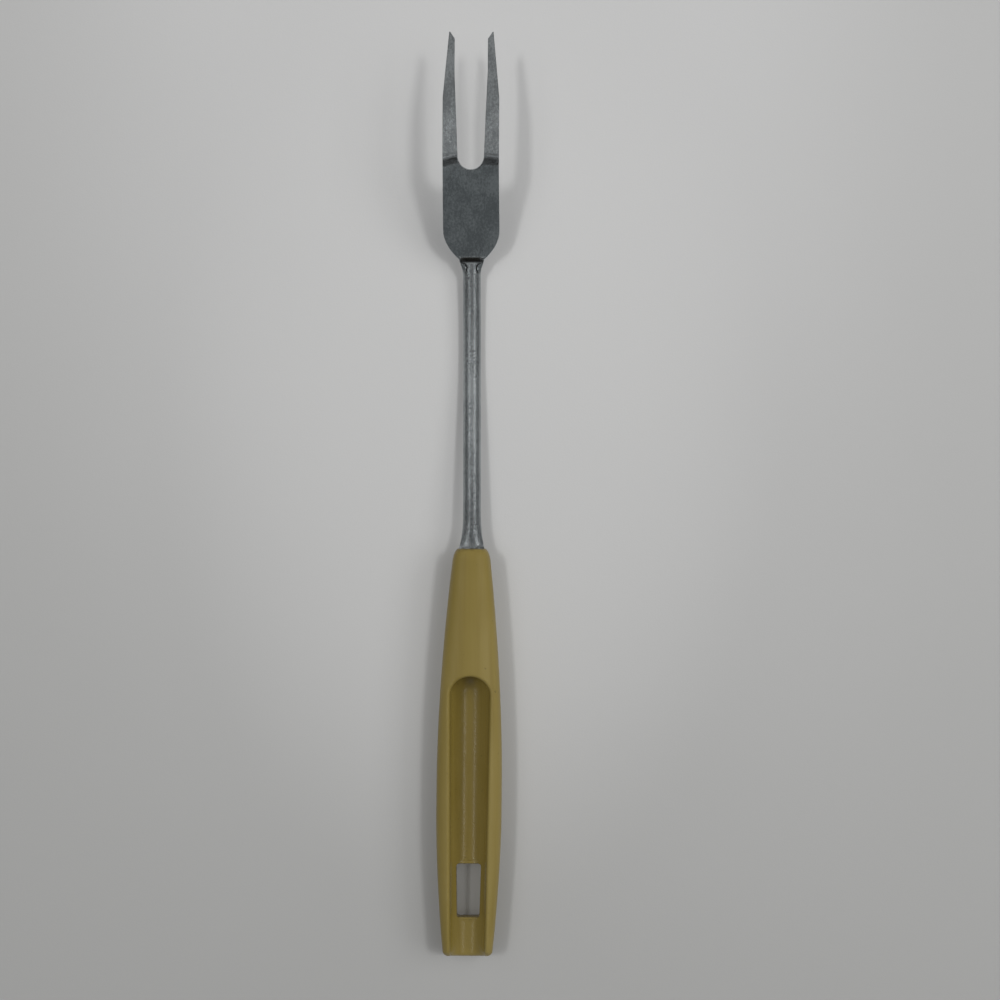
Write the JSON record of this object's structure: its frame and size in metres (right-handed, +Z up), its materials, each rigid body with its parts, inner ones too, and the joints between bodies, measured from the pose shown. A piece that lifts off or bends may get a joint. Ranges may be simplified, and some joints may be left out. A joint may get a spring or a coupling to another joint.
{
  "type": "meat fork",
  "caption": "Long meat fork of bent sheet steel with pointed tines, an arched shank and a grooved plastic handle with a hanging slot.",
  "frame": {"origin": "on the surface that the fork lies on, midway between the butt of the handle and the tine tips", "axes": "+Y from the butt to the tine tips, +Z up out of the grooved face of the handle, +X to the right seen from above with the tines pointing away"},
  "size_m": [0.0234, 0.33, 0.0206],
  "materials": {
    "steel": "satin",
    "plastic": "satin"
  },
  "bodies": {
    "root": {"fork_stamping": "steel", "handle": "plastic"}
  },
  "joints": []
}
